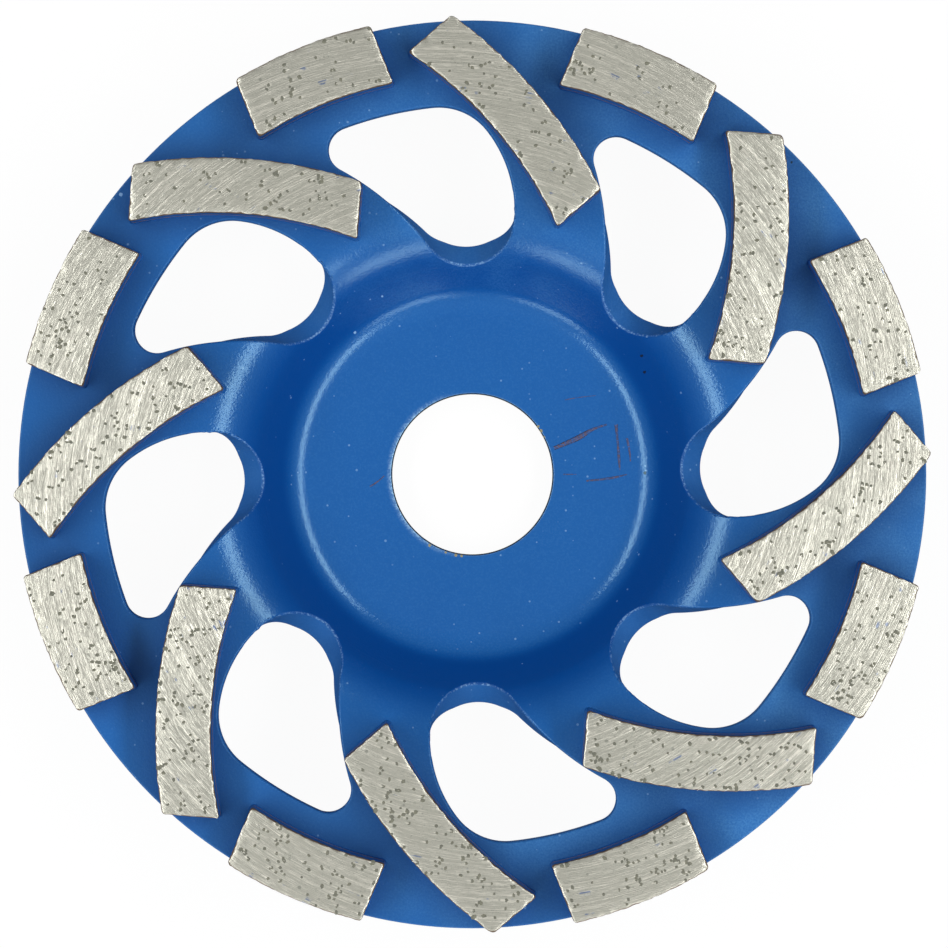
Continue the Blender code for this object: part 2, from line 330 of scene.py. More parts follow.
def window_outline(grow):
    """A window on the flat plate: three corner circles joined by tangent arcs, grown by this."""
    outer_radius = BODY_RADIUS - RIM_LAND
    lead_angle = FIRST_SHORT_ANGLE - LEAD_CORNER_LAG
    end_angle = FIRST_SHORT_ANGLE - END_CORNER_LAG
    hub_angle = FIRST_SHORT_ANGLE - HUB_CORNER_LAG
    lead = polar(outer_radius - LEAD_CORNER_RADIUS, lead_angle)
    end = polar(outer_radius - END_CORNER_RADIUS, end_angle)
    hub = polar(HUB_FLAT_RADIUS + HUB_LAND + HUB_CORNER_RADIUS, hub_angle)

    corner_span = (lead - hub).length + LEAD_CORNER_RADIUS + HUB_CORNER_RADIUS
    bow = corner_span / 2 + LEAD_FLANK_EASE
    bow_centre = circles_meet(lead, bow - LEAD_CORNER_RADIUS, hub, bow - HUB_CORNER_RADIUS, -1)
    hollow = TRAIL_FLANK_RADIUS
    hollow_centre = circles_meet(
        hub, hollow + HUB_CORNER_RADIUS, end, hollow + END_CORNER_RADIUS, 1
    )
    bow_start, bow_end = angle_of(lead - bow_centre), angle_of(hub - bow_centre)
    hub_end, end_start = angle_of(hollow_centre - hub), angle_of(hollow_centre - end)
    hollow_start, hollow_end = angle_of(hub - hollow_centre), angle_of(end - hollow_centre)

    axis = Vector((0.0, 0.0))
    lead_end = clockwise(lead_angle, bow_start)
    hollow_stop = nearest(hollow_start, hollow_end)
    points = arc(axis, outer_radius, end_angle, lead_angle, grow)
    points += arc(lead, LEAD_CORNER_RADIUS, lead_angle, lead_end, grow)
    points += arc(bow_centre, bow, bow_start, clockwise(bow_start, bow_end), grow)
    points += arc(hub, HUB_CORNER_RADIUS, bow_end, clockwise(bow_end, hub_end), grow)
    points += arc(hollow_centre, hollow, hollow_start, hollow_stop, -grow)
    points += arc(end, END_CORNER_RADIUS, end_start, clockwise(end_start, end_angle), grow)
    return points


def punch_levels():
    """Heights of the punch and its growth there: flared at both faces to round the edges."""
    back, front = WINDOW_BACK_ROUNDING, WINDOW_ROUNDING
    levels = []
    for turn in rounding_turns():
        drop = back * (1 - sin(turn))
        levels.append((-PLATE_THICKNESS + drop, back * (1 - cos(turn))))
    levels.append((-PLATE_THICKNESS - back, 2 * back))
    levels.reverse()
    levels += [(height, 0.0) for height in evenly(levels[-1][0], -front, 1.0 * MM)[1:]]
    for turn in rounding_turns():
        levels.append((-front * (1 - sin(turn)), front * (1 - cos(turn))))
    levels.append((front, 2 * front))
    return levels


def window_punch():
    """The solid that cuts one window out of the flat plate."""
    loops = []
    for height, grow in punch_levels():
        loops.append([(point.x, point.y, height) for point in window_outline(grow)])
    return stack(loops, "punch")


def way_facing(corner):
    """The way a corner of the flat punched plate faces, from the rounding that it lies on."""
    height, radius = corner.co.z, corner.co.xy.length
    outwards = Vector((corner.co.x, corner.co.y, 0.0)) / radius
    sideways = Vector((0.0, 0.0, 0.0))
    front, back = WINDOW_ROUNDING, WINDOW_BACK_ROUNDING
    if radius > BODY_RADIUS - RIM_ROUNDING * NEARLY:
        front = back = RIM_ROUNDING
        sideways = outwards
    elif radius < BORE_RADIUS + BORE_ROUNDING * NEARLY:
        front = back = BORE_ROUNDING
        sideways = -outwards
    else:
        for face in corner.link_faces:
            flat = Vector((face.normal.x, face.normal.y, 0.0))
            if flat.length > 0.05:
                sideways += flat.normalized() * face.calc_area()
        if sideways.length > 0:
            sideways.normalize()
    lift = min(1.0, max(0.0, (height + front) / front))
    sink = min(1.0, max(0.0, (back - PLATE_THICKNESS - height) / back))
    upwards = lift - sink
    return sideways * sqrt(max(0.0, 1 - upwards**2)) + Vector((0.0, 0.0, upwards))


def press_wedge(wedge):
    """Opens the wedge's ends and presses it, keeping how each corner faces, as three layers."""
    shape = bmesh.new()
    shape.from_mesh(wedge.data)
    start = FIRST_SHORT_ANGLE + WEDGE_START
    middle = Matrix.Rotation(-start - PITCH / 2, 2)
    ends = []
    for face in shape.faces:
        turned = middle @ face.normal.xy
        if abs(turned.y) > 0.99 and len(face.verts) > END_FACE_CORNERS:
            ends.append(face)
    bmesh.ops.delete(shape, geom=ends, context="FACES_ONLY")
    bmesh.ops.triangulate(shape, faces=shape.faces)
    facing_layer = shape.verts.layers.float_vector.new("facing")
    edge_layer = shape.verts.layers.float.new("edge")
    cut_layer = shape.verts.layers.float.new("cut")
    for corner in shape.verts:
        if abs(corner.co.z) < SEAM_MERGE / 2:
            corner.co.z = 0.0
    pressed = {}
    for corner in shape.verts:
        flat_facing = way_facing(corner)
        place, facing = press(corner.co, flat_facing)
        rounded = 1.0 if -WINDOW_ROUNDING * NEARLY < corner.co.z < -0.01 * MM else 0.0
        pressed[corner] = (place, facing, rounded)
        corner[cut_layer] = 1.0 - abs(flat_facing.z)
    for corner, (place, facing, rounded) in pressed.items():
        corner.co = place
        corner[facing_layer] = facing
        corner[edge_layer] = rounded
    shape.to_mesh(wedge.data)
    shape.free()


def repeat_wedge(wedge):
    """Copies the wedge round the axis, joins the copies and merges their seams."""
    copies = []
    for index in range(1, COUNT):
        copy = add_object(f"wedge_{index}", wedge.data.copy())
        turn = Matrix.Rotation(index * PITCH, 3, "Z")
        copy.data.transform(turn.to_4x4())
        for item in copy.data.attributes["facing"].data:
            item.vector = turn @ item.vector
        copies.append(copy)
    hold([wedge] + copies)
    bpy.ops.object.join()
    edit(wedge)
    bpy.ops.mesh.select_all(action="SELECT")
    bpy.ops.mesh.remove_doubles(threshold=SEAM_MERGE)
    close_edit()


def rough_way(place):
    """A smoothly changing random direction, the same at each run, which noise_vector isn't."""
    return Vector([noise.noise(place + shift) for shift in NOISE_SHIFTS])


def tear_edges(body):
    """Roughens the rolled edge where the press tears the windows' clockwise sides."""
    torn = set()
    mesh = body.data
    edges = mesh.attributes["edge"].data
    for index in range(COUNT):
        angle = FIRST_SHORT_ANGLE + index * PITCH - BURR_LAG
        middle = polar(BURR_RADIUS, angle)
        for corner in mesh.vertices:
            away = (corner.co.xy - middle).length / BURR_REACH
            if edges[corner.index].value < 0.5 or away > 1:
                continue
            rough = rough_way(corner.co / BURR_GRAIN) * BURR_HEIGHT * (1 - away**2)
            corner.co += rough
            torn.add(corner.index)
    return torn


def face_the_pressed_way(body, torn):
    """Shades every corner the way it was pressed to face, apart from the torn ones."""
    mesh = body.data
    mesh.shade_smooth()
    facings = [item.vector.normalized() for item in mesh.attributes["facing"].data]
    for corner in mesh.vertices:
        if corner.index in torn:
            facings[corner.index] = corner.normal.copy()
    mesh.attributes.remove(mesh.attributes["facing"])
    mesh.attributes.remove(mesh.attributes["edge"])
    mesh.normals_split_custom_set_from_vertices(facings)


class Wire:
    """One output of a shader node, so that shader maths is written as Python expressions."""

    def __init__(self, tree, socket=None):
        self.tree = tree
        self.socket = socket

    def node(self, kind, settings, inputs, output=0):
        """Adds a node, its settings first, and gives the wire from one of its outputs."""
        made = self.tree.nodes.new(kind)
        for name, value in settings.items():
            setattr(made, name, value)
        for name, value in inputs.items():
            if isinstance(value, Wire):
                self.tree.links.new(value.socket, made.inputs[name])
            else:
                made.inputs[name].default_value = value
        return Wire(self.tree, made.outputs[output])

    def math(self, operation, first, second=0.0):
        """A Math node on two values or wires."""
        return self.node("ShaderNodeMath", {"operation": operation}, {0: first, 1: second})

    def __add__(self, other):
        return self.math("ADD", self, other)

    def __sub__(self, other):
        return self.math("SUBTRACT", self, other)

    def __rsub__(self, other):
        return self.math("SUBTRACT", other, self)

    def __mul__(self, other):
        return self.math("MULTIPLY", self, other)

    __radd__ = __add__
    __rmul__ = __mul__

    def __truediv__(self, other):
        return self.math("DIVIDE", self, other)

    def __pow__(self, other):
        return self.math("POWER", self, other)

    def part(self, axis):
        """One component of a vector wire."""
        return self.node("ShaderNodeSeparateXYZ", {}, {0: self}, axis)

    def vector(self, x, y, z):
        """A vector wire of three values or wires."""
        return self.node("ShaderNodeCombineXYZ", {}, {0: x, 1: y, 2: z})

    def step(self, low, high):
        """A smooth step from 0 at low to 1 at high, or down again where high is the lower."""
        span = {"Value": self, "From Min": low, "From Max": high}
        return self.node("ShaderNodeMapRange", {"interpolation_type": "SMOOTHSTEP"}, span)

    def grain(self, size, detail=2.0, harshness=0.5):
        """Noise between 0 and 1 over a place wire, with features of about this size."""
        values = {"Vector": self, "Scale": 1 / size, "Detail": detail, "Roughness": harshness}
        return self.node("ShaderNodeTexNoise", {}, values, "Fac")

    def specks(self, spacing, share, radius):
        """Scattered specks over a place wire, 1 in each: this share of the cells has one."""
        cells = {"Vector": self, "Scale": 1 / spacing}
        reach = self.node("ShaderNodeTexVoronoi", {}, cells, "Distance")
        pick_one = self.node("ShaderNodeTexVoronoi", {}, cells, "Color").part("X")
        size = pick_one.step(1 - share, 1.0) * (radius / spacing)
        return (reach - size).step(0.0, -0.3 * radius / spacing)

    def marks(self, spots):
        """Small ragged marks over a flat place wire, each a centre and a radius in millimetres."""
        ragged = (self.grain(0.3 * MM, 2.0, 0.6) - 0.5) * 0.35 * MM
        found = 0.0
        for x, y, radius in spots:
            ends = {0: self, 1: (x * MM, y * MM, 0.0)}
            away = self.node("ShaderNodeVectorMath", {"operation": "DISTANCE"}, ends, "Value")
            mark = (away + ragged).step(radius * MM, 0.7 * radius * MM)
            found = mark.math("MAXIMUM", mark, found)
        return found

    def between(self, first, second):
        """The first colour where this wire is 0, and the second where it is 1."""
        return self.node("ShaderNodeMix", {"data_type": "RGBA"}, {0: self, 6: first, 7: second}, 2)

    def under(self, *layers):
        """This colour under layers of paint or dirt, each a wire and its colour, in order."""
        color = self
        for share, tint in layers:
            color = share.between(color, tint)
        return color

    def bump(self, depth, below=None):
        """The normal of a surface raised by this wire times a depth, over another bump."""
        inputs = {"Height": self, "Distance": depth, "Strength": 1.0}
        if below is not None:
            inputs["Normal"] = below
        return self.node("ShaderNodeBump", {}, inputs)


def finish_named(name):
    """A new material, its tree's object-space place as a wire, and its shader."""
    made = bpy.data.materials.new(name)
    made.use_nodes = True
    tree = made.node_tree
    place = Wire(tree).node("ShaderNodeTexCoord", {}, {}, "Object")
    return made, place, tree.nodes["Principled BSDF"]


def plug(wire, shader, socket):
    """Links a wire to one of a shader's sockets."""
    wire.tree.links.new(wire.socket, shader.inputs[socket])


PAINT_BLUE = (0.0056, 0.087, 0.312, 1.0)
PAINT_DEEP = (0.0046, 0.078, 0.294, 1.0)
PAINTED_WALL_SHADE = (0.0010, 0.050, 0.240, 1.0)
PAINTED_NOOK_SHADE = (0.0006, 0.030, 0.160, 1.0)
PAINT_DUST_AND_LIGHT = (0.040, 0.170, 0.420, 1.0)
SHEEN_BLUE = (0.50, 0.85, 1.0, 1.0)
SHADED_BARE_STEEL = (0.012, 0.022, 0.040, 1.0)
RUBBED_PALE = (0.22, 0.38, 0.58, 1.0)
CHIPPED_DARK = (0.006, 0.012, 0.035, 1.0)
CHIPPED_RUST = (0.26, 0.22, 0.11, 1.0)
DUST_PALE = (0.20, 0.36, 0.60, 1.0)
WORN_WAY = polar(1.0, radians(182))
PALER_WAY = polar(1.0, radians(-15))
NOOK_REACH = 4.5 * MM
WALL_BEGINS = (24.3 * MM, 26.5 * MM)
WALL_ENDS = (36 * MM, 28 * MM)
SCUFFS_END = (37 * MM, 34 * MM)
RING_BEGINS = (38 * MM, 44 * MM)
FORMING_LINE = 28.7 * MM
LINE_HALF_WIDTH = 0.16 * MM
LINE_DEPTH = 0.010 * MM
PEEL_DEPTH = 0.036 * MM
LEAST_DUST = 0.04
PAINT_IOR = 1.56
DARK_CHIPS = ((23.9, 0.2, 0.26), (23.3, 16.3, 0.24), (23.7, 14.1, 0.22), (43.6, 42.6, 0.20))
PALE_CHIPS = ((-16.2, 19.6, 0.22), (-48.0, 38.2, 0.30), (-12.4, 24.5, 0.16), (50.2, -22.0, 0.18))
RUSTY_CHIPS = (
    (9.1, 6.6, 0.22), (9.5, 6.0, 0.28), (9.9, 5.2, 0.18),
    (-5.9, -9.8, 0.24), (-3.7, -10.8, 0.18), (-2.3, -11.2, 0.24), (-1.5, -11.3, 0.22),
)


def blue_paint():
    """Semi-gloss blue: orange peel, pale dust on the ring, painted shade beside the segments and
    on the steep wall, painted light on the upper wall, pale specks, a rubbed bore.
    """
    made, place, shader = finish_named("blue_paint_sprayed")
    x, y = place.part("X"), place.part("Y")
    radius = (x * x + y * y) ** 0.5
    cut = place.node("ShaderNodeAttribute", {"attribute_name": "cut"}, {}, "Fac")
    # Painted shade: where the segments block the lamps, ambient occlusion darkens the paint's
    # colour
    open_air = place.node(
        "ShaderNodeAmbientOcclusion", {"samples": 3}, {"Distance": NOOK_REACH}, "AO"
    )
    beyond_floor, ring = radius.step(*WALL_BEGINS), radius.step(*RING_BEGINS)
    nook_shade = open_air.step(0.88, 0.45) * ring
    patches = place.grain(9 * MM, 2.0, 0.55)
    fine = place.grain(0.28 * MM, 2.0, 0.6)

    # Pale dust on the ring, heavier towards the lower right and thinner in the painted shade
    # beside the segments; on the upper wall above the hub the same pale colour is painted light
    dust_and_painted_light = 0.30 + (x * PALER_WAY.x + y * PALER_WAY.y) * (0.55 / BODY_RADIUS)
    dust_and_painted_light = dust_and_painted_light.math("MAXIMUM", dust_and_painted_light, LEAST_DUST) * ring * (1 - nook_shade)
    dust_and_painted_light = dust_and_painted_light + beyond_floor * (y / radius).step(0.6, 1.1) * 0.35
    dust_film_and_painted_light = dust_and_painted_light * (0.35 + 0.9 * patches.step(0.30, 0.70)) * (0.35 + 1.1 * fine.step(0.25, 0.80))

    sheared = cut.step(0.6, 0.95)
    tone = patches.between(PAINT_DEEP, PAINT_BLUE)
    # Painted shade: the steep wall of the cup gets a darker blue than the hub and the ring
    wall = beyond_floor * radius.step(*WALL_ENDS) * (1 - sheared)

    # Pale specks, finer ones in patches, and scuffs where a window's edge rolls over
    specks = place.specks(2.4 * MM, 0.45, 0.20 * MM)
    dust = place.specks(1.0 * MM, 0.40, 0.19 * MM) * patches.step(0.42, 0.58)
    scuffed = cut.step(0.02, 0.30) * (1 - sheared) * radius.step(*SCUFFS_END)
    dust = dust + scuffed * fine.step(0.48, 0.62)

    # The bore's front edge is rubbed pale on one side; its wall is unpainted steel, coloured
    # nearly black as painted shade on the wall and its inner edge
    worn_side = (x * WORN_WAY.x + y * WORN_WAY.y) / BORE_RADIUS
    rubbed = radius.step(BORE_RADIUS + 1.10 * MM, BORE_RADIUS + 0.05 * MM) ** 2
    rubbed = rubbed * worn_side.step(0.1, 0.8) * (0.4 + 1.6 * fine.step(0.35, 0.70))
    rubbed = rubbed + radius.step(BORE_RADIUS + 0.32 * MM, BORE_RADIUS + 0.15 * MM) * 0.25
    bare_and_shaded = radius.step(BORE_RADIUS + 0.18 * MM, BORE_RADIUS + 0.08 * MM)
    flat = place.vector(x, y, 0.0)
    dark_chips, rusty_chips = flat.marks(DARK_CHIPS), flat.marks(RUSTY_CHIPS)
    color = tone.under(
        (fine.step(0.40, 0.75) * 0.16, PAINT_DUST_AND_LIGHT), (wall, PAINTED_WALL_SHADE), (nook_shade * 0.65, PAINTED_NOOK_SHADE),
        (dust_film_and_painted_light * 0.85, PAINT_DUST_AND_LIGHT), (specks * 0.45, DUST_PALE), (dust * 0.5, DUST_PALE),
        (rubbed * 0.6, RUBBED_PALE), (bare_and_shaded, SHADED_BARE_STEEL), (dark_chips, CHIPPED_DARK),
        (flat.marks(PALE_CHIPS), DUST_PALE), (rusty_chips, CHIPPED_RUST),
    )

    rough = 0.155 + ring * 0.165 + nook_shade * 0.25 + dust_film_and_painted_light * 0.15 + patches * 0.04
    rough = rough + cut.step(0.02, 0.25) * 0.2 + sheared * 0.2 + dark_chips * 0.1
    plug(color, shader, "Base Color")
    plug(rough + rusty_chips * 0.3, shader, "Roughness")
    peel = place.grain(0.42 * MM, 2.0, 0.7).bump(PEEL_DEPTH)
    from_line = radius - FORMING_LINE
    groove = from_line.step(LINE_HALF_WIDTH, 0.0) * from_line.step(-LINE_HALF_WIDTH, 0.0)
    plug(groove.bump(-LINE_DEPTH, peel), shader, "Normal")
    shader.inputs["IOR"].default_value = PAINT_IOR
    shader.inputs["Specular Tint"].default_value = SHEEN_BLUE
    return made


cup = plate_wedge()
punch = window_punch()
cut = cup.modifiers.new("window", "BOOLEAN")
cut.operation = "DIFFERENCE"
cut.solver = "EXACT"
cut.object = punch
hold([cup])
bpy.ops.object.modifier_apply(modifier=cut.name)
bpy.data.objects.remove(punch, do_unlink=True)
press_wedge(cup)
repeat_wedge(cup)
face_the_pressed_way(cup, tear_edges(cup))
cup.data.materials.append(blue_paint())
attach(cup, "root")
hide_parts("cup_body")

# The diamond segments
# Bars of bronze-bonded powder and diamond grit, pressed in a curved mould, sintered, and ground
# level on the finished wheel, which wears their edges and leaves near-concentric lines.

SEGMENT_RADIUS = BODY_RADIUS + 0.5 * MM
SHORT_WIDTH = 8.5 * MM
SHORT_LENGTH = 19.9 * MM
LONG_WIDTH = 7.7 * MM
LONG_LENGTH = 31.35 * MM
LONG_ARC_RADIUS = 63.9 * MM
LONG_TIP_LAG = radians(19.3)
LONG_SWEEP = radians(38.0)

FOOT_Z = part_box("short_segment_1")[0].z
GRIT_RISE = 0.10 * MM
BAR_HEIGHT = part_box("short_segment_1")[1].z - FOOT_Z - GRIT_RISE
BAR_CORNER = 0.45 * MM
BAR_SHRINK = 0.10 * MM
BAR_EDGE = 0.2 * MM
CUT_ALONG = 0.45 * MM
CUT_ACROSS = 0.5 * MM
CUT_UP = 1.2 * MM
WEAR_REACH = 0.75 * MM
WEAR_DEPTH = 0.20 * MM
WEAR_GRAIN = 0.7 * MM
NOISE_SPREAD = 900
SIDE_ROUGHNESS = 0.06 * MM
SMALLEST_CHIP = 0.05 * MM
LARGEST_CHIP = 0.55 * MM
GRIND_TILT = radians(5.0)
CREASE = radians(40.0)

GRAIN_RADIUS = 0.33 * MM
GRAIN_FLATNESS = 0.5
TAIL_LENGTH = 1.5 * MM
TAIL_RISE = 0.05 * MM
GRAINS_ACROSS = 0.46
GRAINS_ALONG = 0.48
GRAINS_SHOWN = 0.80
GRAINS_SWING = 0.28
CLUSTER_REACH = 0.9 * MM
CLUSTERED_SHARE = 0.35


class BarKind(namedtuple("BarKind", "name width length arc_radius grains place")):
    """One kind of segment: its sizes, its number of grains, and the place of its arc's centre."""

    def bent(self, point):
        """Carries a point of the straight bar to the bent one, its foot over the ring."""
        inner = sqrt((self.arc_radius - self.width) ** 2 - point.y**2)
        outer = sqrt(self.arc_radius**2 - point.y**2)
        across = inner + (outer - inner) * (point.x / self.width + 0.5)
        return Vector((across, point.y, point.z + FOOT_Z))

    def covers(self, point):
        """Whether a point of the bent bar's own frame lies over it."""
        reach = point.xy.length
        within = self.arc_radius - self.width < reach < self.arc_radius
        return within and abs(point.y) < self.length / 2

    def turned(self, index):
        """The matrix from the bent bar to its place on the wheel, for one of the eight."""
        turn = Matrix.Rotation(FIRST_SHORT_ANGLE + index * PITCH, 4, "Z")
        return turn @ self.place

    def middle(self, index):
        """The angle about the wheel's axis of the middle of one of the eight."""
        return angle_of((self.turned(index) @ self.bent(Vector((0, 0, 0)))).xy)


def long_place():
    """A long bar's arc: one end's outer corner on the segment circle, its length swept inwards."""
    length_angle = pi + LONG_SWEEP - LONG_TIP_LAG
    middle_angle = length_angle + pi / 2
    rise = sqrt(LONG_ARC_RADIUS**2 - (LONG_LENGTH / 2) ** 2)
    centre = polar(SEGMENT_RADIUS, -LONG_TIP_LAG) + polar(LONG_LENGTH / 2, length_angle)
    centre -= polar(rise, middle_angle)
    return Matrix.Translation(centre.to_3d()) @ Matrix.Rotation(middle_angle, 4, "Z")


def pick_edges(wanted):
    """Selects the edges of the mesh in edit mode whose two ends pass a test."""
    bpy.ops.mesh.select_mode(type="EDGE")
    bpy.ops.mesh.select_all(action="DESELECT")
    mesh = bpy.context.object.data
    shape = bmesh.from_edit_mesh(mesh)
    for edge in shape.edges:
        edge.select_set(wanted(edge.verts[0].co, edge.verts[1].co))
    bmesh.update_edit_mesh(mesh)


def cut_every(step, extent, axis):
    """Cuts the mesh in edit mode by evenly spaced planes across an axis."""
    for place in evenly(extent[0], extent[1], step)[1:]:
        bpy.ops.mesh.select_all(action="SELECT")
        bpy.ops.mesh.bisect(plane_co=axis * place, plane_no=axis)


def straight_bar(kind):
    """A straight bar with rounded corners and top rim, cut finely enough to bend and to wear."""
    deselect_all()
    size = (kind.width - BAR_SHRINK, kind.length - BAR_SHRINK, BAR_HEIGHT)
    bpy.ops.mesh.primitive_cube_add(size=1, location=(0, 0, BAR_HEIGHT / 2), scale=size)
    bar = bpy.context.object
    bpy.ops.object.transform_apply(location=True, rotation=True, scale=True)
    edit(bar)
    pick_edges(lambda one, other: abs(one.z - other.z) > BAR_HEIGHT / 2)
    bpy.ops.mesh.bevel(offset=BAR_CORNER, segments=4, affect="EDGES")
    top = BAR_HEIGHT - 0.01 * MM
    pick_edges(lambda one, other: one.z > top and other.z > top)
    bpy.ops.mesh.bevel(offset=BAR_EDGE, segments=2, affect="EDGES")
    cut_every(CUT_ALONG, (-kind.length / 2, kind.length / 2), Vector((0, 1, 0)))
    cut_every(CUT_ACROSS, (-kind.width / 2, kind.width / 2), Vector((1, 0, 0)))
    cut_every(CUT_UP, (0, BAR_HEIGHT), Vector((0, 0, 1)))
    bpy.ops.mesh.select_all(action="SELECT")
    bpy.ops.mesh.quads_convert_to_tris()
    bpy.ops.object.mode_set(mode="OBJECT")
    return bar


def wear_bar(mesh, kind, dice):
    """Wears the top edges of a straight bar unevenly and knocks its top corners off."""
    shift = Vector((dice.uniform(0, 1), dice.uniform(0, 1), 0.0)) * NOISE_SPREAD
    half = Vector((kind.width / 2, kind.length / 2, 0.0))
    chips = []
    for side, end in ((1, 1), (1, -1), (-1, 1), (-1, -1)):
        outwards = Vector((side, end, 1.0)).normalized()
        tip = Vector((side * half.x, end * half.y, BAR_HEIGHT))
        depth = dice.uniform(SMALLEST_CHIP, LARGEST_CHIP)
        chips.append((outwards, tip.dot(outwards) - depth))
    for corner in mesh.vertices:
        place = corner.co.copy()
        rough = rough_way(place / WEAR_GRAIN + shift)
        fine = noise.noise(place / (WEAR_GRAIN * 0.4) + shift)
        inner = Vector((
            max(-half.x + WEAR_REACH, min(half.x - WEAR_REACH, place.x)),
            max(-half.y + WEAR_REACH, min(half.y - WEAR_REACH, place.y)),
            min(BAR_HEIGHT - WEAR_REACH, place.z),
        ))
        inwards = (inner - place) / WEAR_REACH
        at_side = min(1.0, inwards.xy.length)
        at_edge = at_side * min(1.0, abs(inwards.z))
        depth = WEAR_DEPTH * at_edge * max(0.0, 0.35 + rough.x * 0.8 + fine * 0.4)
        depth += SIDE_ROUGHNESS * at_side * (rough.y + 0.5)
        if inwards.length > 0:
            place += inwards.normalized() * max(0.0, depth)
        for outwards, limit in chips:
            over = place.dot(outwards) - limit
            if over > 0:
                place -= outwards * over * (0.92 - 0.2 * abs(rough.z))
        corner.co = place


def ground_place(point, middle):
    """A point across and along the grinding lines, which tilt inwards going clockwise."""
    radius = point.xy.length
    angle = nearest(0.0, angle_of(point.xy) - middle)
    return Vector((radius * (1 - tan(GRIND_TILT) * angle), radius * angle, 0.0))


def mesh_alone():
    """The active object's mesh, once the object is removed."""
    made = bpy.context.object
    mesh = made.data
    bpy.data.objects.remove(made, do_unlink=True)
    return mesh


def grain_of_diamond():
    """One diamond grain, a faceted ball, as a mesh with its middle at the origin."""
    deselect_all()
    bpy.ops.mesh.primitive_ico_sphere_add(subdivisions=1, radius=GRAIN_RADIUS)
    return mesh_alone()


def comet_tail():
    """The low ridge of bond that shelters behind a grain: a tapering wedge along +X."""
    deselect_all()
    bpy.ops.mesh.primitive_cone_add(
        vertices=4, radius1=GRAIN_RADIUS, radius2=0, depth=TAIL_LENGTH,
        location=(TAIL_LENGTH / 2, 0, 0), rotation=(0, pi / 2, 0),
    )
    bpy.ops.object.transform_apply(location=True, rotation=True, scale=True)
    return mesh_alone()


def scattered(kind, count, dice):
    """Places for grains on a straight bar's top, partly in clusters."""
    places = []
    for index in range(count):
        across = dice.uniform(-GRAINS_ACROSS, GRAINS_ACROSS) * kind.width
        along = dice.uniform(-GRAINS_ALONG, GRAINS_ALONG) * kind.length
        place = Vector((across, along, 0.0))
        if places and dice.random() < CLUSTERED_SHARE:
            near = dice.choice(places)
            near = near + Vector((dice.gauss(0, 1), dice.gauss(0, 1), 0)) * CLUSTER_REACH
            within = abs(near.x) < GRAINS_ACROSS * kind.width
            if within and abs(near.y) < GRAINS_ALONG * kind.length:
                place = near
        place.z = BAR_HEIGHT
        places.append(place)
    return places


def add_copy(shape, mesh, matrix, material, bright, tail_layer):
    """Adds a moved copy of a mesh to a shape, marked with its material and its brightness."""
    corners, faces = len(shape.verts), len(shape.faces)
    shape.from_mesh(mesh)
    shape.verts.ensure_lookup_table()
    shape.faces.ensure_lookup_table()
    for corner in shape.verts[corners:]:
        corner.co = matrix @ corner.co
        corner[tail_layer] = bright
    for face in shape.faces[faces:]:
        face.material_index = material
        face.smooth = False


def add_grit(shape, kind, index, tail_layer, dice):
    """Buries grains in a bar's top, each with a ridge behind it along the grinding lines."""
    matrix = kind.turned(index)
    back = matrix.inverted()
    swing = GRAINS_SWING * sin(kind.middle(index) + 0.2)
    count = round(kind.grains * (GRAINS_SHOWN - swing))
    for place in scattered(kind, count, dice):
        spot = matrix @ kind.bent(place)
        size = dice.uniform(0.55, 1.25)
        turn = Matrix.Rotation(dice.uniform(0, pi), 4, "X")
        turn = turn @ Matrix.Rotation(dice.uniform(0, pi), 4, "Z")
        sunk = GRAIN_RADIUS * size * GRAIN_FLATNESS - dice.uniform(0.6, 0.95) * GRIT_RISE
        at_grain = Matrix.Translation(spot - Vector((0, 0, max(0.0, sunk))))
        longer = dice.uniform(1.0, 1.5)
        squeeze = Matrix.Diagonal((size * longer, size, size * GRAIN_FLATNESS, 1.0))
        spin = Matrix.Rotation(dice.uniform(0, pi), 4, "Z")
        add_copy(shape, GRAIN_MESH, at_grain @ spin @ squeeze @ turn, 1, 0.0, tail_layer)

        way = angle_of(spot.xy) - pi / 2 - GRIND_TILT
        length = dice.uniform(0.35, 1.0)
        tip = spot + polar(TAIL_LENGTH * length, way).to_3d()
        if not kind.covers(back @ tip):
            continue
        at_tail = Matrix.Translation(spot - Vector((0, 0, 0.2 * TAIL_RISE)))
        flat = Matrix.Diagonal((length, size * 0.55, size * TAIL_RISE / GRAIN_RADIUS, 1.0))
        at_tail = at_tail @ Matrix.Rotation(way, 4, "Z") @ flat
        add_copy(shape, TAIL_MESH, at_tail, 0, dice.uniform(0.4, 1.0), tail_layer)


def segment_of(kind, blank, index):
    """One worn, bent and placed segment with its grit, standing for the frame's solid."""
    dice = random.Random(f"{kind.name} {index}")
    mesh = blank.data.copy()
    wear_bar(mesh, kind, dice)
    matrix = kind.turned(index)
    for corner in mesh.vertices:
        corner.co = matrix @ kind.bent(corner.co)
    shape = bmesh.new()
    shape.from_mesh(mesh)
    for face in shape.faces:
        face.smooth = True
    tail_layer = shape.verts.layers.float.new("tail")
    add_grit(shape, kind, index, tail_layer, dice)
    shape.to_mesh(mesh)
    shape.free()
    mesh.set_sharp_from_angle(angle=CREASE)

    middle = kind.middle(index)
    ground = mesh.attributes.new("ground", "FLOAT_VECTOR", "POINT")
    for corner in mesh.vertices:
        ground.data[corner.index].vector = ground_place(corner.co, middle)
    return add_object(f"{kind.name}_segment_ground_{index + 1}", mesh)


BOND = (0.48, 0.475, 0.41, 1.0)
BOND_BRIGHT = (0.84, 0.81, 0.71, 1.0)
BOND_DULL = (0.23, 0.24, 0.205, 1.0)
BOND_SIDE = (0.13, 0.085, 0.052, 1.0)
DIAMOND = (0.105, 0.108, 0.082, 1.0)
DIAMOND_PALE = (0.14, 0.14, 0.10, 1.0)


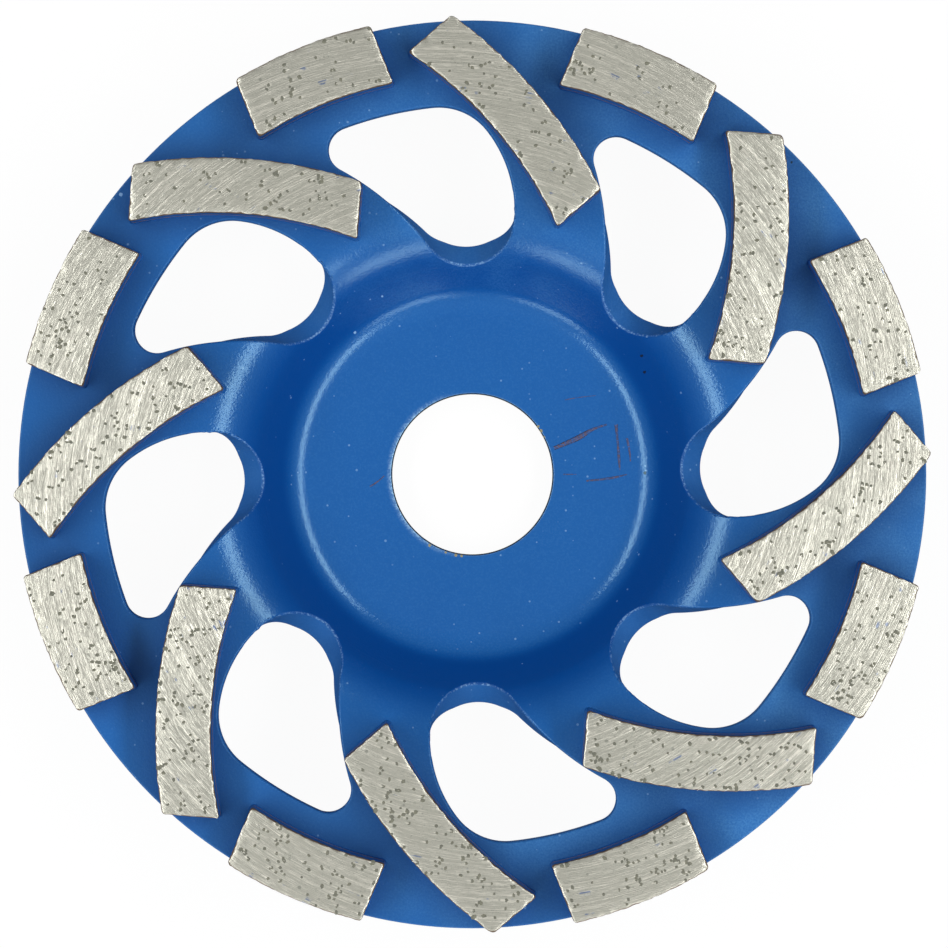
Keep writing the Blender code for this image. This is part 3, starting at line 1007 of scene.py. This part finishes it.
def ground_bond():
    """Ground bronze-grey bond: fine and wide lines, rough brown sides, paint near the foot."""
    made, place, shader = finish_named("sintered_bond_1")
    ground = place.node("ShaderNodeAttribute", {"attribute_name": "ground"}, {}, "Vector")
    tail = place.node("ShaderNodeAttribute", {"attribute_name": "tail"}, {}, "Fac")
    upwards = place.node("ShaderNodeNewGeometry", {}, {}, "Normal").part("Z")
    across, along = ground.part("X"), ground.part("Y")

    long_lines = ground.vector(across, along * 0.004, 0.31).grain(0.11 * MM, 1.0, 0.6)
    dashes = ground.vector(across, along * 0.06, 0.23).grain(0.11 * MM, 2.0, 0.6)
    fine = long_lines * 0.5 + dashes * 0.5
    wide = ground.vector(across, along * 0.012, 0.17).grain(0.32 * MM, 1.0, 0.6)
    patches = place.grain(2.4 * MM, 2.0, 0.6)
    pores = place.grain(0.16 * MM, 1.0, 0.7)
    scuffs = place.grain(0.7 * MM, 2.0, 0.7)

    bright = (fine * 0.85 + wide * 0.15).step(0.50, 0.61)
    dull = (fine * 0.6 + wide * 0.1 + pores * 0.3).step(0.46, 0.36)
    pits = place.specks(1.3 * MM, 0.50, 0.30 * MM) * (1 - patches.step(0.45, 0.65))
    residue = patches.step(0.64, 0.72) * wide.step(0.54, 0.62)
    side = upwards.step(0.97, 0.72)
    height = place.part("Z") - (patches * 1.4 + scuffs * 1.6) * MM
    painted = side * height.step(FOOT_Z + 3.6 * MM, FOOT_Z + 3.1 * MM)
    color = (bright * 0.55).between(BOND, BOND_BRIGHT).under(
        (dull * 0.45, BOND_DULL), (pores.step(0.40, 0.28) * patches * 0.8, BOND_DULL),
        (pits * 0.6, BOND_DULL), (tail * 0.6, BOND_BRIGHT), (residue * 0.6, PAINT_BLUE),
        (side, BOND_SIDE), (painted, PAINT_DEEP),
    )

    plug(color, shader, "Base Color")
    plug((1 - painted) * (0.90 - side * 0.60), shader, "Metallic")
    plug(0.34 + side * 0.36 - painted * 0.25, shader, "Roughness")
    grooves = (fine * 0.090 + wide * 0.015) * (1 - side) + pores * side * 0.05
    plug(grooves.bump(MM), shader, "Normal")
    return made


def diamond_grit():
    """Dark olive synthetic diamond, dull from grinding."""
    made, place, shader = finish_named("diamond_grit")
    tone = place.grain(0.5 * MM, 1.0).step(0.35, 0.65)
    plug(tone.between(DIAMOND, DIAMOND_PALE), shader, "Base Color")
    shader.inputs["Roughness"].default_value = 0.5
    return made


LONG = BarKind("long", LONG_WIDTH, LONG_LENGTH, LONG_ARC_RADIUS, 104, long_place())
SHORT = BarKind("short", SHORT_WIDTH, SHORT_LENGTH, SEGMENT_RADIUS, 68, Matrix.Identity(4))
GRAIN_MESH = grain_of_diamond()
TAIL_MESH = comet_tail()
BOND_FINISH = ground_bond()
GRIT_FINISH = diamond_grit()
for kind in (LONG, SHORT):
    blank = straight_bar(kind)
    for index in range(COUNT):
        segment = segment_of(kind, blank, index)
        segment.data.materials.append(BOND_FINISH)
        segment.data.materials.append(GRIT_FINISH)
        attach(segment, "root")
        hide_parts(f"{kind.name}_segment_{index + 1}")
    bpy.data.objects.remove(blank, do_unlink=True)

# The braze
# Brass-coloured filler that wets the gap under each segment and rises in a small fillet round its
# foot. The body's paint covers most of it, so that it shows as a thin brown line.

BRAZE_CORNER = 0.6 * MM
BRAZE_SINK = 0.02 * MM
BRAZE_STEP = 0.55 * MM
BRAZE_RIM_GAP = 0.12 * MM
BRAZE_TUCK = 0.25 * MM
BRAZE_TOP = FOOT_Z + 0.30 * MM
BRAZE_PROFILE = ((0.15, 0.0), (0.12, 0.10), (0.05, 0.35), (-0.02, 0.80))


def bar_outline(kind, grow):
    """Points round a straight bar's rounded rectangle, grown by this, always as many."""
    across, along = kind.width / 2 - BRAZE_CORNER, kind.length / 2 - BRAZE_CORNER
    radius = BRAZE_CORNER + grow
    points = []
    sides = ((1, 1, across), (-1, 1, along), (-1, -1, across), (1, -1, along))
    for quarter, (x, y, half_run) in enumerate(sides):
        centre = Vector((x * across, y * along))
        start = quarter * pi / 2
        points += [centre + polar(radius, start + pi / 8 * step) for step in range(4)]
        corner = centre + polar(radius, start + pi / 2)
        ahead = polar(1.0, start + pi)
        points += [corner + ahead * place for place in evenly(0, 2 * half_run, BRAZE_STEP)]
    return points


def over_window(point):
    """Whether a point of the ring lies over one of the windows."""
    start = FIRST_SHORT_ANGLE + WEDGE_START
    angle = start + (angle_of(point) - start) % PITCH
    spot = polar(point.length, angle)
    inside = False
    for one, other in zip(WINDOW_EDGE, WINDOW_EDGE[1:] + WINDOW_EDGE[:1]):
        if (one.y > spot.y) != (other.y > spot.y):
            crossing = one.x + (spot.y - one.y) / (other.y - one.y) * (other.x - one.x)
            inside = inside != (spot.x < crossing)
    return inside


def braze_of(kind, index):
    """The filler under one segment: loops of points, each grown by mm at a share of its height."""
    matrix = kind.turned(index)
    rim = BODY_RADIUS - BRAZE_RIM_GAP
    tucked = bar_outline(kind, -BRAZE_TUCK)
    loops = []
    for grow, share in BRAZE_PROFILE:
        loop = []
        for point, inner in zip(bar_outline(kind, grow * MM), tucked):
            place = (matrix @ kind.bent(point.to_3d())).xy
            if over_window(place):
                place = (matrix @ kind.bent(inner.to_3d())).xy
            if place.length > rim and share < 0.5:
                place = place.normalized() * rim
            ring = PLATE_THICKNESS + front_section(place.length)[0] - BRAZE_SINK
            height = ring + (BRAZE_TOP - ring) * share
            loop.append((place.x, place.y, height))
        loops.append(loop)
    return stack(loops, f"{kind.name}_braze_{index + 1}")


BRASS = (0.42, 0.23, 0.09, 1.0)
BRAZE_DARK = (0.10, 0.06, 0.03, 1.0)


def brazed_seam():
    """Brass-brown filler, sprayed over with the body's blue paint up to a ragged line."""
    made, place, shader = finish_named("braze_filler")
    rough = place.grain(0.35 * MM, 3.0, 0.6)
    metal = rough.between(BRAZE_DARK, BRASS)
    height = place.part("Z") - rough * 0.35 * MM
    painted = height.step(FOOT_Z + 0.10 * MM, FOOT_Z - 0.10 * MM)
    plug(painted.between(metal, PAINT_DEEP), shader, "Base Color")
    plug((1 - painted) * 0.7, shader, "Metallic")
    plug(0.5 - painted * 0.15, shader, "Roughness")
    plug(rough.bump(0.03 * MM), shader, "Normal")
    return made


WINDOW_EDGE = window_outline(0.0)
BRAZE_FINISH = brazed_seam()
for kind in (LONG, SHORT):
    for index in range(COUNT):
        seam = braze_of(kind, index)
        seam.data.shade_smooth()
        seam.data.set_sharp_from_angle(angle=CREASE)
        seam.data.materials.append(BRAZE_FINISH)
        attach(seam, "root")

# The scratches
# Scuffs on the hub floor that went through the paint and rusted brown: low ragged lines, each a
# curve through a few points, thickest where the paint was dug out.

SCRATCH_RADIUS = 0.24 * MM
SCRATCH_FLATNESS = 0.06
SCRATCHES = (
    (1.3, ((11.3, 3.6), (13.2, 4.4), (15.0, 5.2), (16.8, 6.4), (18.6, 6.9))),
    (0.8, ((19.9, 6.9), (20.1, 4.6), (20.3, 2.4), (20.4, 0.6))),
    (0.9, ((21.4, 5.0), (21.8, 3.6), (21.9, 1.8))),
    (0.6, ((15.8, -0.9), (18.0, -0.7), (20.0, -0.4), (21.4, 0.0))),
    (0.4, ((12.6, 0.0), (14.4, 0.0))),
    (0.3, ((12.8, 10.3), (14.6, 10.7), (17.1, 10.9))),
    (0.6, ((-14.2, -1.7), (-13.1, -1.1), (-12.2, -0.2))),
)
RUST = (0.085, 0.047, 0.062, 1.0)
RUST_DARK = (0.020, 0.042, 0.130, 1.0)


def scratch(thickness, points):
    """One scratch: a flattened tube along a smooth curve, half sunk in the hub floor."""
    line = bpy.data.curves.new("scratch", "CURVE")
    line.dimensions = "3D"
    line.bevel_depth = SCRATCH_RADIUS
    line.bevel_resolution = 1
    line.use_fill_caps = True
    spline = line.splines.new("NURBS")
    spline.points.add(len(points) - 1)
    spline.use_endpoint_u = True
    spline.order_u = 3
    spline.resolution_u = 8
    dice = random.Random(len(points) + thickness)
    for index, (x, y) in enumerate(points):
        spline.points[index].co = (x * MM, y * MM, 0.0, 1.0)
        spline.points[index].radius = thickness * dice.uniform(0.3, 1.5)
    spline.points[-1].radius = thickness * 0.4
    made = add_object("scratch", line)
    hold([made])
    bpy.ops.object.convert(target="MESH")
    for corner in made.data.vertices:
        corner.co.z = PLATE_THICKNESS + corner.co.z * SCRATCH_FLATNESS
    return made


def rusted_line():
    """Rust brown in patches over dug-out dark blue."""
    made, place, shader = finish_named("rusted_scratch")
    patchy = place.grain(0.45 * MM, 3.0, 0.7)
    color = patchy.step(0.40, 0.62).between(RUST_DARK, RUST)
    color = place.grain(0.25 * MM, 2.0, 0.6).step(0.50, 0.66).between(color, PAINT_BLUE)
    plug(color, shader, "Base Color")
    shader.inputs["Roughness"].default_value = 0.6
    return made


strokes = [scratch(thickness, points) for thickness, points in SCRATCHES]
hold(strokes)
bpy.ops.object.join()
scuffs = bpy.context.object
scuffs.name = "hub_floor_scratches"
scuffs.data.materials.append(rusted_line())
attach(scuffs, "root")

# The studio
# A pale floor under the wheel's hub, two large soft boxes to its left and right, and two smaller
# ones low in front. The camera looks straight down on the working face.

CAMERA_HEIGHT = 0.8335
CAMERA_X = 0.23 * MM
CAMERA_Y = 0.05 * MM
LENS = 227.7
SOFT_BOXES = (
    ("left_box", 185, 39.5, 1.10, 0.22, 5.8),
    ("right_box", -4, 38.5, 1.50, 0.22, 5.8),
    ("low_left_box", 244, 71, 0.36, 0.26, 3.4),
    ("low_right_box", 291, 71, 0.44, 0.26, 3.4),
)
SKY = 0.53
SKY_TILT = 0.40
FLOOR_DROP = 0.1 * MM
FLOOR_SIZE = 8.0
FLOOR_GREY = (0.86, 0.86, 0.86, 1.0)
FLOOR_PAINTED_SHADOW = (0.05, 0.05, 0.05, 1.0)
FLOOR_WHITENESS = 0.95


def soft_box(name, azimuth, from_vertical, width, height, radiance):
    """A rectangular lamp one metre from the wheel, at these degrees, its width level."""
    lamp = bpy.data.lights.new(name, "AREA")
    lamp.shape = "RECTANGLE"
    lamp.size = width
    lamp.size_y = height
    lamp.energy = radiance * width * height * 4
    made = add_object(name, lamp)
    tilt = radians(from_vertical)
    flat = polar(sin(tilt), radians(azimuth))
    place = Vector((flat.x, flat.y, cos(tilt)))
    made.location = place
    made.rotation_euler = place.to_track_quat("Z", "Y").to_euler()


def kinds_of_ray(tree):
    """Three wires: whether a ray comes from the camera, a reflection or a transparent piece."""
    kinds = ("Camera", "Glossy", "Transmission")
    return [Wire(tree).node("ShaderNodeLightPath", {}, {}, f"Is {kind} Ray") for kind in kinds]


def studio_floor():
    """A wide floor that the camera sees as white, and reflections too beyond the wheel;
    reflections under the wheel see it dark, a painted shadow.
    """
    deselect_all()
    bpy.ops.mesh.primitive_plane_add(size=FLOOR_SIZE)
    made = bpy.context.object
    made.name = "floor"
    made.location.z = -FLOOR_DROP
    finish = bpy.data.materials.new("floor")
    finish.use_nodes = True
    tree = finish.node_tree
    tree.nodes.remove(tree.nodes["Principled BSDF"])
    camera, glossy, through = kinds_of_ray(tree)
    mirrored = camera.math("MAXIMUM", glossy, through)
    place = camera.node("ShaderNodeTexCoord", {}, {}, "Object")
    from_axis = (place.part("X") ** 2 + place.part("Y") ** 2) ** 0.5
    beyond = from_axis.step(BODY_RADIUS, 2 * BODY_RADIUS)
    seen = camera.math("MAXIMUM", camera, mirrored * beyond)
    # Painted shadow: reflected rays see the floor under the wheel as dark
    shade = (mirrored * (1 - beyond)).between(FLOOR_GREY, FLOOR_PAINTED_SHADOW)
    matt = seen.node("ShaderNodeBsdfDiffuse", {}, {"Color": shade})
    white = seen.node("ShaderNodeEmission", {}, {"Color": (1, 1, 1, 1), "Strength": 1.0})
    mixed = seen.node("ShaderNodeMixShader", {}, {0: seen * FLOOR_WHITENESS, 1: matt, 2: white})
    plug(mixed, tree.nodes["Material Output"], "Surface")
    made.data.materials.append(finish)


def studio_air():
    """Grey overhead, fading to black towards the horizon, and white behind the floor."""
    world = bpy.data.worlds.new("studio")
    bpy.context.scene.world = world
    world.use_nodes = True
    tree = world.node_tree
    camera, glossy, through = kinds_of_ray(tree)
    seen = camera.math("MAXIMUM", camera, camera.math("MAXIMUM", glossy, through))
    way = seen.node("ShaderNodeTexCoord", {}, {}, "Generated")
    height = way.part("Z")
    behind_floor = seen * height.step(0.10, 0.08)
    grey = SKY * height.step(-0.10, 0.85) * (1 - way.part("Y") * SKY_TILT)
    level = behind_floor + (1 - behind_floor) * grey
    tree.nodes["Background"].inputs["Color"].default_value = (1, 1, 1, 1)
    plug(level, tree.nodes["Background"], "Strength")


studio_floor()
studio_air()
for values in SOFT_BOXES:
    soft_box(*values)

lens = bpy.data.cameras.new("camera")
lens.lens = LENS
lens.sensor_width = 36.0
lens.clip_start = 0.05
lens.clip_end = 20.0
camera = add_object("camera", lens)
camera.location = (CAMERA_X, CAMERA_Y, CAMERA_HEIGHT)
bpy.context.scene.camera = camera
bpy.context.scene.view_settings.view_transform = "Standard"
